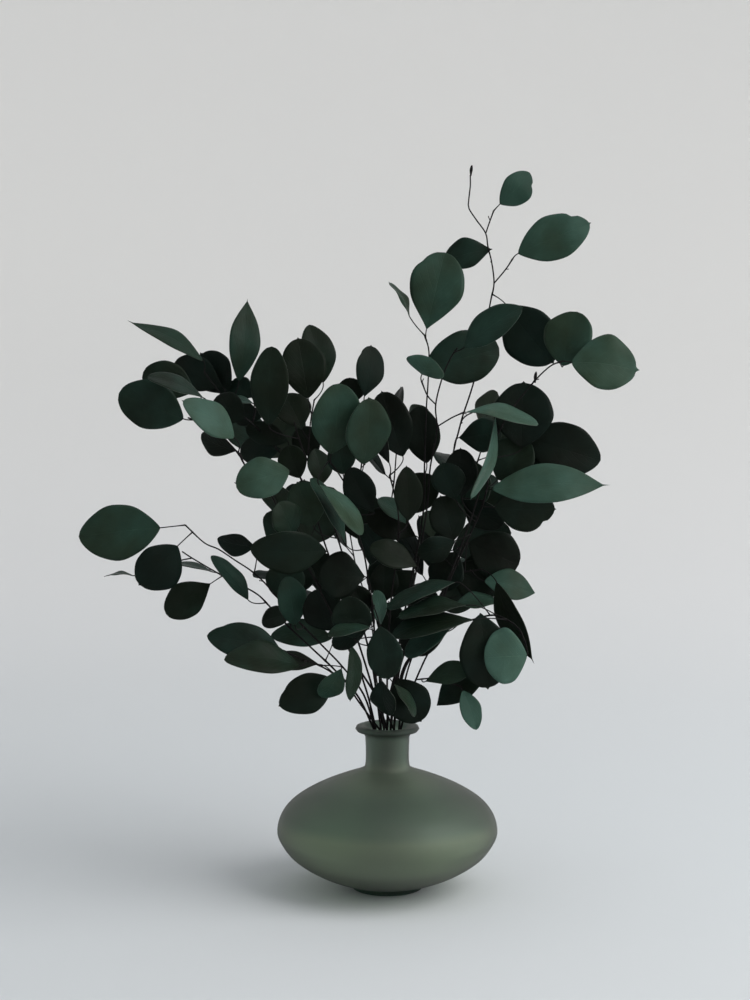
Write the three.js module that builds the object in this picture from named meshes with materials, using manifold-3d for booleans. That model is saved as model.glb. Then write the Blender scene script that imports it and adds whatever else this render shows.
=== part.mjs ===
// Leafy eucalyptus branches standing in a flat-bodied frosted glass bottle.
// Millimetres, +Z up. The bottle's axis is the Z axis and its foot stands on z = 0.
// The viewer of the branch rows below stands on the -Y side.
import * as THREE from "three";
import Module from "manifold-3d";

const wasm = await Module();
wasm.setup();

// Driving dimensions of the bottle
const FOOT_RADIUS = 32.5;
const FOOT_HEIGHT = 5;
const BODY_RADIUS = 100.5;
const NECK_RADIUS = 19.7;
const RIM_RADIUS = 29.2;
const BOTTLE_HEIGHT = 149.5;
const WALL = 4;
const FLOOR_Z = 9;
const BOTTLE_SIDES = 32;

// Driving dimensions of the branches
const STEM_RADIUS = 1.6;
const STEM_TIP_RADIUS = 1.05;
const TWIG_RADIUS = 1.0;
const PETIOLE_RADIUS = 0.85;
const BLADE_THICKNESS = 0.7;
const BLADE_ARCH = 0.07;
const BLADE_FOLD = 0.16;
const STEM_SIDES = 5;
const STEM_SLACK = 0.45;
const STALK_SLACK = 0.6;
const ROUTE_STEP = 3;
const PETIOLE_BACK = 9;
const BUD_RADIUS = 2;
const BUD_HALF = 5;
const LARGE_LEAF = 46;

// The twenty stems pass the neck in three circles and spread towards the bottle's floor
const NECK_Z = 146;
const NECK_LOW_Z = 108;
const OUTER_SEAT = 12.4;
const INNER_SEAT = 5.9;
const FLOOR_SPREAD = 2.2;
const STEM_END_Z = 10.4;

// Clearances that a leaf keeps from other leaves, stems and stalks
const BLADE_GAP = 4.4;
const WOOD_GAP = 4.6;
const STALK_GAP = 3.6;
const OWN_WOOD_GAP = 2.2;
const REACH_MAX = 46;
const SAMPLE = 5;
const SHIFTS = [0, 6, -6, 12, -12, 18, -18, 24, -24, 30, -30, 36, -36, 44, -44];

// The rows are read in one front picture: x to the right, z up, then depth away from the viewer.
// A point goes to its depth along the line of sight of this eye.
const EYE = [-11.25, -1490, 438];

// Wood rows are [x, z, depth] points of a stem, then of its side twigs.
// Leaf rows are [base x, base z, tip x, tip z, depth, tip lean, turn in degrees, width, form].
// The forms of a blade, which halfWidth reads: wedge, oval, disc and drawn out to a point
const FORMS = [[1.2, 0.95, -0.45], [1.0, 0.8, -0.18], [1.08, 0.72, -0.22], [0.98, 0.8, 0.25]];
const BRANCHES = [
  { name: "left_high", seat: 7, tilt: -0.04,
    wood: [
      [[-22, 178, -4], [-41, 203, -4], [-60, 223, -5], [-88, 252, -8], [-110, 278, -10],
        [-123, 290, -10], [-138, 300, -8], [-153, 310, -5], [-166, 316, -3], [-183, 332, 0]],
    ],
    leaves: [
      [-205.5, 329.5, -279.5, 321.5, 2, 5, 10, 51.5, 1], [-190, 313, -225, 278, -14, -5, -15, 43, 2],
      [-120.5, 312.5, -154, 319.5, -25, 0, -40, 25, 1], [-95, 262, -89, 300, 5, 5, 0, 36, 2],
      [-84, 241, -92, 285, -34, -10, 20, 28, 2]] },
  { name: "left_low", seat: 6, tilt: 0.14,
    wood: [
      [[-27, 176, 10], [-48, 200, 16], [-69, 220, 18], [-90, 240, 20], [-106, 257, 20],
        [-118, 269, 18], [-136, 279, 16], [-155, 289, 14], [-177, 302, 12], [-186, 308, 12]],
      [[-177, 302, 12], [-190, 299, 12], [-210, 290, 13], [-226, 286.5, 14]],
    ],
    leaves: [
      [-230, 286, -257, 285, 14, 0, 82, 18], [-157, 289, -203, 294, 16, 6, 80, 28],
      [-160, 279, -201, 251, 8, -6, 10, 34], [-126.5, 264, -160, 304, 4, -8, 47, 24, 1],
      [-88, 250, -114, 243, 10, 0, 40, 26, 2], [-50, 229, -106, 231, 34, -6, 40, 32, 1],
      [-83, 268.5, -79, 300, 24, 4, 0, 32, 2]] },
  { name: "low_left", seat: 8, tilt: -0.3,
    wood: [
      [[-27, 172, -14], [-38, 189, -22], [-48, 196, -26], [-62, 204, -32], [-80, 211, -36],
        [-98, 219, -38]],
    ],
    leaves: [
      [-98, 219, -164, 231, -36, 4, 15, 33, 1], [-79.5, 204, -148.5, 209, -56, -6, 40, 34, 1],
      [-62, 205, -108, 206, -16, 10, 50, 28], [-50, 191.5, -98.5, 167, -34, 0, -8, 35, 1],
      [-41.5, 201.5, -59.5, 175, -52, 10, -30, 23.5]] },
  { name: "upper_left_low", seat: 9, tilt: -0.2,
    wood: [
      [[-10, 175, -14], [-28, 205, -20], [-50, 250, -30], [-75, 300, -36], [-101, 351, -36],
        [-106, 360, -36], [-118, 373, -34], [-128, 385, -32], [-135, 397, -30], [-150, 413, -28],
        [-166, 424, -24], [-180, 429, -20]],
    ],
    leaves: [
      [-184, 428, -242, 451, -18, 4, 0, 41.5, 2], [-138.5, 411, -184.5, 444, -50, -8, 35, 31, 1],
      [-136, 399, -168, 414, -18, 8, -45, 26], [-88.5, 381, -136.5, 366, -52, -6, 20, 37, 2],
      [-55.5, 308.5, -124.5, 311, -50, -6, -20, 39.5, 1], [-166, 447, -216, 466, -40, 6, 60, 28],
      [-172, 452, -220, 470, -10, 10, 10, 34], [-52, 236, -66, 273, -24, 0, 0, 36, 2],
      [-86, 322, -98.5, 352.5, -52, -4, 25, 30, 2]] },
  { name: "upper_left_mid", seat: 14, tilt: 0.12,
    wood: [
      [[-20, 205, 9], [-38, 260, 12], [-55, 310, 14], [-74, 366, 14], [-87, 385, 12], [-100, 401, 10],
        [-120, 422, 6], [-144, 442, 2], [-150, 450, 0], [-165, 470, -5]],
    ],
    leaves: [
      [-166, 480, -230.5, 514.5, -6, 6, 48, 21.5, 3], [-134, 462, -126, 534, 0, 8, 15, 30, 3],
      [-143, 451.5, -167.5, 486, 15, 12, -10, 38, 2], [-148, 456, -192, 478, 10, 8, 0, 34],
      [-121, 442, -143, 443, -8, 0, 75, 28], [-122, 447, -140, 462, 5, 0, 0, 24],
      [-112, 430, -142, 436, 18, 5, -20, 26], [-96, 401, -133, 398, 20, 8, 0, 28],
      [-79, 374.5, -90.5, 403.5, -6, 6, 0, 27, 2], [-128.5, 429, -156.5, 445, -36, 8, 0, 30, 2],
      [-90, 408, -127.5, 420.5, -20, 0, 0, 22, 2]] },
  { name: "upper_left_top", seat: 15, tilt: 0.05,
    wood: [
      [[-14, 205, -1], [-28, 260, 0], [-45, 320, 0], [-64, 376, 0], [-72, 390, 0], [-80, 410, 0],
        [-84, 425, 0]],
      [[-72, 387, 0], [-70, 420, 4], [-66, 445, 6]],
    ],
    leaves: [
      [-107, 422, -104, 493, -30, -6, -15, 35, 2], [-71.5, 446.5, -80.5, 500, -15, 4, 5, 41, 2],
      [-58, 460.5, -70.5, 512.5, 12, 6, 20, 32.5, 1], [-77, 418, -93, 450, 5, 8, 20, 36],
      [-64, 392, -80, 420, 25, 5, 0, 28], [-67, 331, -81.5, 370.5, -30, -8, 10, 36, 2],
      [-59, 369, -65.5, 401, 14, 4, 20, 24, 1]] },
  { name: "centre_left", seat: 16, tilt: -0.16,
    wood: [
      [[-8, 205, -6], [-15, 260, -6], [-20, 300, -6], [-28, 330, -6], [-34, 360, -6], [-45, 380, -6],
        [-53, 390, -6]],
      [[-28, 330, -6], [-26, 350, -12], [-25, 372, -12], [-22, 400, -8], [-19, 430, 0]],
    ],
    leaves: [
      [-51, 396.5, -43, 460, -20, -10, 15, 45, 2], [-62, 369, -23, 323, -46, -10, -60, 32],
      [-38, 315, -70, 374, -40, -8, 60, 30], [-12, 343, -34, 384, -25, 0, -15, 28],
      [-21.5, 387, -17, 446.5, -30, -8, 25, 42, 2], [-21, 447.5, -15, 493.5, 5, 8, 28, 29],
      [-34, 441.5, -34, 465, 4, 0, 10, 26, 2], [-40, 378, -45.5, 409, -26, -4, 10, 26, 1]] },
  { name: "centre", seat: 12, tilt: -0.05,
    wood: [
      [[0, 205, 0], [3, 260, 0], [9, 310, 0], [10, 340, 0], [6, 361, 0], [2, 377, 0]],
    ],
    leaves: [
      [2, 387, -16, 447, -14, -6, -50, 30], [14, 394, -5, 452, 0, 6, 0, 36, 2],
      [17, 333, -8, 356, 14, 6, 50, 26], [19, 336, 17, 385, -20, 0, 10, 26, 1],
      [4, 227.5, 2.5, 262, 12, 4, 0, 27, 2], [-3, 262, -3, 297.5, 16, 4, 0, 26, 2]] },
  { name: "tall_left", seat: 13, tilt: 0.02,
    wood: [
      [[8, 205, 4], [17, 260, 4], [27, 310, 4], [33, 350, 4], [33.5, 390, 4], [35, 436, 4],
        [36.5, 460, 4], [37.3, 488, 4], [33.5, 503, 4]],
    ],
    leaves: [
      [35, 508, 51.5, 577, 0, 8, 0, 50], [20, 519.5, 1.5, 550, -10, 0, 77, 26],
      [33, 474.5, 100.5, 491.5, 8, 6, 5, 49, 2], [35.5, 388, 28, 439, 12, -4, 0, 33, 2],
      [26, 322, -19, 341, -20, -4, 10, 30], [27, 294, -16, 312, -30, -4, 30, 28],
      [25, 291, 3, 268, -22, 0, 20, 28]] },
  { name: "tall_mid", seat: 17, tilt: -0.05,
    wood: [
      [[10, 205, -4], [20, 260, -4], [30, 310, -4], [36, 350, -4], [38.4, 382, -4], [42, 402, -4],
        [44.8, 420, -4], [43.5, 441, -4], [50, 467, -4], [57, 483, -4], [63, 492, -5]],
      [[43.5, 441, -4], [36, 449, -9], [31, 461, -12]],
      [[44.8, 421, -4], [58, 429, -8], [68, 433.5, -12]],
    ],
    leaves: [
      [31, 468, 39, 483, -25, -20, 0, 36], [69, 492, 121, 528, -14, -6, -32, 32.5, 1],
      [70, 434, 136, 423, -18, 4, -68, 36]] },
  { name: "tall_right", seat: 2, tilt: 0.1, bud: [74.5, 650, 24],
    wood: [
      [[11, 200, 12], [25, 240, 16], [40, 290, 22], [52, 345, 24], [60, 400, 24], [63.5, 414, 24],
        [68, 431, 24], [75, 452, 24], [81, 474, 24], [88, 508, 24], [92.7, 534, 24], [95.6, 549.5, 24],
        [93.5, 568, 24], [90, 582, 24], [88, 594, 24], [79.6, 606, 24], [73, 616, 24], [72.6, 623, 24],
        [74, 636, 24], [74, 646, 24]],
      [[88, 594, 24], [91, 603, 24], [95, 614, 24]],
      [[95.6, 549.5, 24], [106, 562, 22], [112, 571, 21]],
      [[63, 412, 24], [68, 428, 18], [79, 435, 14]],
    ],
    leaves: [
      [100.5, 620, 127.5, 647.5, 24, 4, 15, 30, 1], [117, 576, 181, 603, 20, 0, -10, 43, 1],
      [93.5, 580, 51.5, 570, 28, 6, 20, 30], [107.5, 529.5, 149, 479, 20, 6, 10, 51.5, 2],
      [64, 411, 103, 417, 12, 5, 10, 33]] },
  { name: "right_high", seat: 11, tilt: -0.05, bud: [132.9, 465.5, -5.5],
    wood: [
      [[14, 195, -8], [35, 235, -12], [58, 290, -14], [78, 345, -12], [92, 395, -10], [108, 430, -7],
        [129, 458, -3], [146, 475, 0], [158, 480, 2]],
      [[129, 458, -3], [132.6, 463, -5]],
    ],
    leaves: [
      [165.5, 479, 224, 472, 2, -4, -25, 53, 2], [158, 475.5, 170.5, 524, 26, 4, -20, 47, 2],
      [121, 402, 122.5, 460.5, 12, 6, 0, 54, 2], [97.5, 430.5, 75.5, 356.5, -8, -6, -70, 32]] },
  { name: "right_mid", seat: 18, tilt: 0,
    wood: [
      [[14, 200, 0], [38, 235, 0], [62, 295, 0], [80, 335, 0], [88, 357, 0], [93, 385, 2],
        [98, 410, 3], [104, 436, 4]],
    ],
    leaves: [
      [99.5, 373, 127, 408.5, -16, -4, -10, 42, 2], [94.5, 364.5, 196, 368, -36, 0, -20, 38, 3],
      [123.5, 412, 192.5, 390.5, 5, 5, 0, 50, 1], [97, 348, 151.5, 346.5, -25, 0, 15, 42.5, 1],
      [67, 356, 104, 331, -12, 0, 30, 30], [62, 355, 50, 388, -26, -4, -20, 32],
      [67, 358, 66, 401, -28, 2, 5, 30, 2], [60, 318, 48, 358, -20, 0, 10, 34, 2],
      [62, 318, 28, 305, -8, 0, -20, 26], [40, 320, 36, 345, 24, 0, 30, 22],
      [62, 307.5, 46, 273, 20, 0, 10, 34, 2], [109.5, 423, 144.5, 387.5, 12, 0, 0, 36, 2]] },
  { name: "right_low", seat: 1, tilt: 0.16,
    wood: [
      [[16, 190, 5], [28, 225, 10], [45, 255, 11], [62, 285, 10], [85, 292, 8]],
    ],
    leaves: [
      [99, 280, 132, 209, -22, -6, 35, 27, 3], [74, 316, 119, 296, 0, 4, 0, 46, 2],
      [60, 284, 114, 292, 48, -4, 10, 46, 2], [88, 281, 134, 270, 12, 4, -30, 32, 3],
      [60, 259, 99, 263, -6, 5, -55, 26], [58, 296, 96, 272, 5, 0, 0, 40],
      [47.5, 264, 15, 267.5, 22, 0, 0, 28, 1]] },
  { name: "low_right", seat: 0, tilt: -0.24,
    wood: [
      [[20, 175, 0], [26, 191, 0], [37, 215, 0], [47, 228, 0], [59, 239, 0], [78, 246, 0],
        [96, 250, 0], [108, 246, -3], [119, 238, -8], [125, 226, -16]],
      [[26, 191, 0], [42, 192, -8], [58, 188, -12], [68, 184, -14]],
    ],
    leaves: [
      [78, 246, 4, 231, -38, -8, 50, 32], [127, 213, 88, 211, -26, -6, 10, 50, 2],
      [84, 251, 91.5, 183.5, -20, -4, -10, 47, 2], [92.5, 205.5, 45, 167, -24, -4, 15, 29, 3],
      [34, 189, 78, 202, -18, 6, -20, 21], [68.5, 181, 81.5, 145, -14, -4, -20, 20, 1],
      [58, 238, 16, 213, -30, -6, 45, 28], [72, 259, 10, 248, -26, -8, 60, 30],
      [62, 280, 0, 256, -10, -6, 60, 30], [55, 235, 12, 222, 8, 0, 0, 30]] },
  { name: "low_front", seat: 10, tilt: -0.36,
    wood: [
      [[-6, 175, -25], [-12, 205, -32], [-12, 240, -36], [-14, 262, -34]],
    ],
    leaves: [
      [-7, 240, 1, 192, -62, -8, 0, 31, 2], [-6, 241, -12, 272, 2, 0, 50, 22],
      [-30, 229, -35, 267, -40, 0, -5, 35, 2], [-15, 239, -54, 231, -55, -4, 65, 26],
      [-18, 237, -50, 222, -30, 0, 30, 24], [-33, 222, -34, 172, -58, -6, -50, 22, 1],
      [6, 187, 25, 157, -44, -6, -65, 22], [9, 191.5, 30.5, 153, -36, -4, 0, 38, 2],
      [-5, 190, 2, 158, -44, 0, 40, 26, 1], [-20, 285, -62, 286, -24, 0, 0, 42],
      [-17.5, 253, -32, 276.5, 2, 0, 0, 22, 2]] },
];

// Branches behind the front ones: routes as real [x, y, z] points, leaves grown by a rule
const BACK_BRANCHES = [
  { name: "back_right", seat: 3, seed: 50,
    wood: [
      [[4, 22, 180], [22, 44, 230], [52, 70, 300], [78, 90, 360], [92, 100, 400]],
      [[22, 44, 230], [40, 72, 256], [68, 108, 292], [90, 136, 326]],
    ] },
  { name: "back_middle", seat: 4, seed: 57,
    wood: [
      [[-7, 24, 185], [-8, 46, 235], [-4, 70, 300], [6, 88, 360], [10, 96, 405]],
      [[-8, 46, 235], [-20, 82, 258], [-30, 118, 284], [-36, 146, 312]],
    ] },
  { name: "back_left", seat: 5, seed: 22,
    wood: [
      [[-20, 20, 180], [-38, 40, 225], [-72, 64, 285], [-102, 84, 338], [-122, 96, 384]],
      [[-38, 40, 225], [-54, 80, 250], [-72, 114, 285], [-84, 138, 322]],
    ] },
];
const GROWN_FIRST = 34;
const GROWN_STEP = 31;
const GROWN_LENGTH = [44, 62];
const GROWN_WIDTH = 0.76;
const GROWN_FORM = 2;
const GOLDEN_ANGLE = 2.39996;

// Small vector helpers on plain arrays
const add = (a, b, f = 1) => [a[0] + b[0] * f, a[1] + b[1] * f, a[2] + b[2] * f];
const sub = (a, b) => [a[0] - b[0], a[1] - b[1], a[2] - b[2]];
const dot = (a, b) => a[0] * b[0] + a[1] * b[1] + a[2] * b[2];
const cross = (a, b) => [a[1] * b[2] - a[2] * b[1], a[2] * b[0] - a[0] * b[2], a[0] * b[1] - a[1] * b[0]];
const size = (a) => Math.sqrt(dot(a, a));
const unit = (a) => [a[0] / size(a), a[1] / size(a), a[2] / size(a)];

// A row's point at its depth, with its branch leaning out as a whole the further it is from the neck
function placed(x, z, depth, tilt) {
  const y = depth + tilt * Math.hypot(x, z - NECK_Z);
  const k = (y - EYE[1]) / -EYE[1];
  return [EYE[0] + (x - EYE[0]) * k, y, EYE[2] + (z - EYE[2]) * k];
}

function seatAt(index) {
  if (index < 12) {
    const a = (index * Math.PI) / 6;
    return [OUTER_SEAT * Math.cos(a), OUTER_SEAT * Math.sin(a)];
  }
  if (index === 12) return [0, 0];
  const a = ((index - 12) * Math.PI) / 3;
  return [INNER_SEAT * Math.cos(a), INNER_SEAT * Math.sin(a)];
}

// A smooth curve through the points, with stations about one step apart
function smooth(points, step) {
  const out = [];
  for (let i = 0; i < points.length - 1; i += 1) {
    const p1 = points[i];
    const p2 = points[i + 1];
    const p0 = i ? points[i - 1] : add(p1, sub(p1, p2));
    const p3 = i + 2 < points.length ? points[i + 2] : add(p2, sub(p2, p1));
    const count = Math.max(1, Math.floor(size(sub(p2, p1)) / step + 0.5));
    for (let k = 0; k < count; k += 1) {
      const t = k / count;
      out.push([0, 1, 2].map((j) => {
        const a = p0[j];
        const b = p1[j];
        const c = p2[j];
        const d = p3[j];
        const quad = 2 * a - 5 * b + 4 * c - d;
        const cube = 3 * b - a - 3 * c + d;
        return 0.5 * (2 * b + (c - a) * t + quad * t * t + cube * t * t * t);
      }));
    }
  }
  out.push(points[points.length - 1]);
  return out;
}

// The stem's own points: bottle floor, neck, then its route
function woodPaths(branch, step) {
  const [sx, sy] = seatAt(branch.seat);
  const route = (row) => (branch.leaves ? row.map((p) => placed(...p, branch.tilt)) : row);
  const main = [[sx, sy, NECK_Z], ...route(branch.wood[0])];
  const foot = [sx * FLOOR_SPREAD, sy * FLOOR_SPREAD, STEM_END_Z];
  const low = [sx, sy, NECK_LOW_Z];
  const twigs = branch.wood.slice(1).map((row) => smooth(route(row), step));
  return [[foot, low, ...smooth(main, step)], ...twigs];
}

// Half width of a blade of width 1. A form is where it is widest, how blunt its base is, and how much
// sharper its apex is than its base.
function halfWidth(s, form) {
  const [peak, base, apex] = FORMS[form];
  if (s <= 0 || s >= 1) return 0;
  return 0.5 * Math.sin(Math.PI * s ** peak) ** (base + apex * s);
}

function bladeFrame(base, tip, facing, turn, width, form) {
  const length = size(sub(tip, base));
  const d = unit(sub(tip, base));
  const n0 = unit(add(facing, d, -dot(facing, d)));
  const side = cross(d, n0);
  const n = [0, 1, 2].map((j) => Math.cos(turn) * n0[j] + Math.sin(turn) * side[j]);
  return { base, d, n, w: cross(d, n), length, width, form };
}

function rowFrame(row, shift, tilt) {
  const [bx, bz, tx, tz, depth, lean, turn, width, form = 0] = row;
  const base = placed(bx, bz, depth + shift, tilt);
  const tip = placed(tx, tz, depth + shift + lean, tilt);
  return bladeFrame(base, tip, unit(sub(EYE, base)), (turn * Math.PI) / 180, width, form);
}

function onBlade(f, s, u) {
  const half = f.width * halfWidth(s, f.form);
  const rise = BLADE_ARCH * f.length * Math.sin(Math.PI * s) + BLADE_FOLD * Math.abs(u) * half;
  return [0, 1, 2].map((j) => f.base[j] + f.d[j] * (f.length * s) + f.w[j] * (u * half) + f.n[j] * rise);
}

function bladeSamples(f) {
  const rows = Math.floor(f.length / SAMPLE) + 1;
  const columns = Math.floor(f.width / SAMPLE) + 1;
  const out = [];
  for (let i = 0; i <= rows; i += 1) {
    const s = 0.03 + (0.95 * i) / rows;
    for (let j = 0; j <= columns; j += 1) out.push(onBlade(f, s, -1 + (2 * j) / columns));
  }
  return out;
}

// The stalk runs from the wood near the blade's base, forward into the base
function stalkPath(f, wood, step) {
  const aim = add(f.base, f.d, -PETIOLE_BACK);
  let start = wood[0];
  for (const p of wood) if (size(sub(p, aim)) < size(sub(start, aim))) start = p;
  const reach = size(sub(start, f.base));
  const bend = add(f.base, f.d, -Math.min(0.45 * reach, 14));
  const count = Math.max(2, Math.floor(reach / step));
  const out = [];
  for (let k = 0; k <= count; k += 1) {
    const t = k / count;
    const [near, middle, end] = [(1 - t) * (1 - t), 2 * t * (1 - t), t * t];
    out.push([0, 1, 2].map((j) => near * start[j] + middle * bend[j] + end * f.base[j]));
  }
  return out;
}

function closer(a, b, gap) {
  const limit = gap * gap;
  for (const p of a) {
    for (const q of b) {
      const x = p[0] - q[0];
      const y = p[1] - q[1];
      const z = p[2] - q[2];
      if (x * x + y * y + z * z < limit) return true;
    }
  }
  return false;
}

// Leaves of the back branches: round the wood by the golden angle, sizes from a seeded draw
function grownFrames(branch) {
  let state = branch.seed;
  const draw = () => {
    state = (state * 16807) % 2147483647;
    return state / 2147483647;
  };
  draw();
  const tries = [];
  woodPaths(branch, ROUTE_STEP).forEach((path, index) => {
    let run = 0;
    let next = GROWN_FIRST;
    let angle = draw() * 2 * Math.PI;
    for (let i = 1; i < path.length; i += 1) {
      run += path[i][2] > 215 ? size(sub(path[i], path[i - 1])) : 0;
      const last = i === path.length - 1;
      if (run < next && !last) continue;
      next = run + GROWN_STEP * (0.85 + 0.3 * draw());
      angle += GOLDEN_ANGLE;
      const along = unit(sub(path[i], path[i - 1]));
      const length = GROWN_LENGTH[0] + (GROWN_LENGTH[1] - GROWN_LENGTH[0]) * draw();
      const across = unit(cross(along, [0, 0, 1]));
      const up = cross(across, along);
      const options = [];
      for (let k = 0; k < 6; k += 1) {
        const a = angle + (k * Math.PI) / 3;
        const out = [0, 1, 2].map((j) => across[j] * Math.cos(a) + up[j] * Math.sin(a));
        const dir = unit(add(last ? along : add(out, along, 0.6), [0, 0.35, 0.1]));
        const base = add(path[i], dir, 11);
        const facing = unit(add(add([0, 0.9, 0.7], out, 0.5), along, 0.3));
        const tip = add(base, dir, length);
        options.push(bladeFrame(base, tip, facing, k * 0.2 - 0.5, length * GROWN_WIDTH, GROWN_FORM));
      }
      tries.push({ options, index });
    }
  });
  return tries.map((t) => t.options);
}

// Each leaf takes the first place along its line of sight that stays clear of everything placed before
function placeLeaves() {
  const all = [...BRANCHES, ...BACK_BRANCHES];
  const woods = all.map((b) => woodPaths(b, ROUTE_STEP).flat());
  const blades = [];
  const stalks = [];
  const found = all.map(() => []);
  all.forEach((branch, index) => {
    const own = woods[index].filter((p) => p[2] > 165);
    const others = woods.filter((w, i) => i !== index).flat();
    const rows = branch.leaves
      ? branch.leaves.map((row) => SHIFTS.map((shift) => rowFrame(row, shift, branch.tilt)))
      : grownFrames(branch);
    for (const options of rows) {
      for (const f of options) {
        const blade = bladeSamples(f);
        const stalk = stalkPath(f, own, 4);
        const free = stalk.slice(1);
        const far = blade.filter((p) => size(sub(p, stalk[0])) > 8);
        const rivals = stalks.filter((s) => s.index !== index).map((s) => s.points).flat();
        if (branch.leaves && size(sub(stalk[0], f.base)) > REACH_MAX) continue;
        if (closer(blade, others, WOOD_GAP)) continue;
        if (closer(blade, blades, BLADE_GAP)) continue;
        if (closer(blade, stalks.map((s) => s.points).flat(), STALK_GAP)) continue;
        if (closer(free, others, STALK_GAP)) continue;
        if (closer(free, blades, STALK_GAP)) continue;
        if (closer(free, rivals, STALK_GAP)) continue;
        if (closer(far, own, OWN_WOOD_GAP)) continue;
        if (blade.some((p) => Math.hypot(p[0], p[1]) < 33 && p[2] < 153)) continue;
        blades.push(...blade);
        stalks.push({ index, points: free });
        found[index].push({ frame: f, own });
        break;
      }
    }
  });
  return { all, found };
}

// A closed solid from a list of rings of equal length, capped flat at both ends
function solidFromRings(rings) {
  const count = rings[0].length;
  const points = rings.flat().flat();
  const faces = [];
  for (let i = 0; i < rings.length - 1; i += 1) {
    for (let j = 0; j < count; j += 1) {
      const a = i * count + j;
      const b = i * count + ((j + 1) % count);
      faces.push(a, b, b + count, a, b + count, a + count);
    }
  }
  const top = (rings.length - 1) * count;
  for (let j = 1; j < count - 1; j += 1) {
    faces.push(0, j + 1, j);
    faces.push(top, top + j, top + j + 1);
  }
  return solid(points, faces);
}

function solid(points, faces) {
  return new wasm.Manifold(new wasm.Mesh({
    numProp: 3,
    vertProperties: new Float32Array(points),
    triVerts: new Uint32Array(faces),
  }));
}

// Rings of a tube along a path, kept from twisting by carrying one side vector along
function tube(path, sides, radiusAt) {
  let side = null;
  const rings = path.map((p, i) => {
    const ahead = path[Math.min(i + 1, path.length - 1)];
    const behind = path[Math.max(i - 1, 0)];
    const along = unit(sub(ahead, behind));
    const guide = side || (Math.abs(along[2]) > 0.9 ? [1, 0, 0] : [0, 0, 1]);
    side = unit(add(guide, along, -dot(guide, along)));
    const other = cross(along, side);
    const r = radiusAt(i / (path.length - 1));
    return Array.from({ length: sides }, (_, k) => {
      const a = (2 * Math.PI * k) / sides;
      return add(add(p, side, r * Math.cos(a)), other, r * Math.sin(a));
    });
  });
  return solidFromRings(rings);
}

// One leaf as a closed solid: a three-sided stalk that opens into the six-sided section of the blade
function leafSolid(f, path) {
  const stations = f.width > LARGE_LEAF ? [0.16, 0.4, 0.66, 0.9] : [0.2, 0.52, 0.86];
  const points = [];
  path.forEach((p, i) => {
    const along = unit(sub(path[Math.min(i + 1, path.length - 1)], path[Math.max(i - 1, 0)]));
    const across = unit(add(f.w, along, -dot(f.w, along)));
    const above = cross(across, along);
    for (const a of [0.35, -1.57, -3.49]) {
      points.push(add(add(p, across, PETIOLE_RADIUS * Math.cos(a)), above, PETIOLE_RADIUS * Math.sin(a)));
    }
  });
  const half = BLADE_THICKNESS / 2;
  for (const s of stations) {
    for (const [u, h] of [[0, half], [1, half], [1, -half], [0, -half], [-1, -half], [-1, half]]) {
      points.push(add(onBlade(f, s, u), f.n, h));
    }
  }
  points.push(add(onBlade(f, 1, 0), f.n, half), add(onBlade(f, 1, 0), f.n, -half));
  const faces = [0, 2, 1];
  for (let i = 0; i < path.length - 1; i += 1) {
    for (let j = 0; j < 3; j += 1) {
      const a = 3 * i + j;
      const b = 3 * i + ((j + 1) % 3);
      faces.push(a, b, b + 3, a, b + 3, a + 3);
    }
  }
  const r = 3 * (path.length - 1);
  const s = r + 3;
  faces.push(r, s, r + 2, r, s + 1, s, r + 2, s, s + 5);
  faces.push(r, s + 2, s + 1, r, r + 1, s + 2, r + 1, s + 3, s + 2);
  faces.push(r + 2, s + 5, s + 4, r + 2, s + 4, r + 1, r + 1, s + 4, s + 3);
  for (let i = 0; i < stations.length - 1; i += 1) {
    const a = s + 6 * i;
    const b = a + 6;
    faces.push(a, b + 1, b, a, a + 1, b + 1, a + 1, b + 2, b + 1, a + 1, a + 2, b + 2);
    faces.push(a + 2, a + 3, b + 2, a + 3, b + 3, b + 2, a + 3, a + 4, b + 3, a + 4, b + 4, b + 3);
    faces.push(a + 4, b + 5, b + 4, a + 4, a + 5, b + 5, a + 5, b, b + 5, a + 5, a, b);
  }
  const e = s + 6 * (stations.length - 1);
  const top = e + 6;
  faces.push(e, e + 1, top, e + 5, e, top, e + 1, e + 2, top + 1, e + 1, top + 1, top);
  faces.push(e + 2, e + 3, top + 1, e + 3, e + 4, top + 1, e + 4, e + 5, top, e + 4, top, top + 1);
  return solid(points.flat(), faces);
}

// The path without the points that lie nearly on a straight line between their neighbours
function thinned(path, slack) {
  if (path.length < 3) return path;
  const [a, b] = [path[0], path[path.length - 1]];
  const along = unit(sub(b, a));
  let worst = 0;
  let at = 0;
  path.forEach((p, i) => {
    const off = sub(p, a);
    const gap = size(add(off, along, -dot(off, along)));
    if (gap > worst) [worst, at] = [gap, i];
  });
  if (worst < slack) return [a, b];
  return [...thinned(path.slice(0, at + 1), slack).slice(0, -1), ...thinned(path.slice(at), slack)];
}

function stemRadius(t) {
  return STEM_RADIUS + (STEM_TIP_RADIUS - STEM_RADIUS) * t;
}

function budSolid(centre) {
  const rings = [-1, -0.3, 0.4, 1].map((h, i) => Array.from({ length: 5 }, (_, k) => {
    const r = [0.7, BUD_RADIUS, 1.5, 0.5][i];
    const a = (2 * Math.PI * k) / 5;
    return [centre[0] + r * Math.cos(a), centre[1] + r * Math.sin(a), centre[2] + h * BUD_HALF];
  }));
  return solidFromRings(rings);
}

function branchSolid(branch, leaves) {
  const pieces = [];
  woodPaths(branch, ROUTE_STEP).forEach((path, i) => {
    pieces.push(tube(thinned(path, STEM_SLACK), STEM_SIDES, i ? () => TWIG_RADIUS : stemRadius));
  });
  if (branch.bud) pieces.push(budSolid(placed(...branch.bud, branch.tilt)));
  for (const leaf of leaves) {
    pieces.push(leafSolid(leaf.frame, thinned(stalkPath(leaf.frame, leaf.own, 4), STALK_SLACK)));
  }
  return wasm.Manifold.union(pieces);
}

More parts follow.
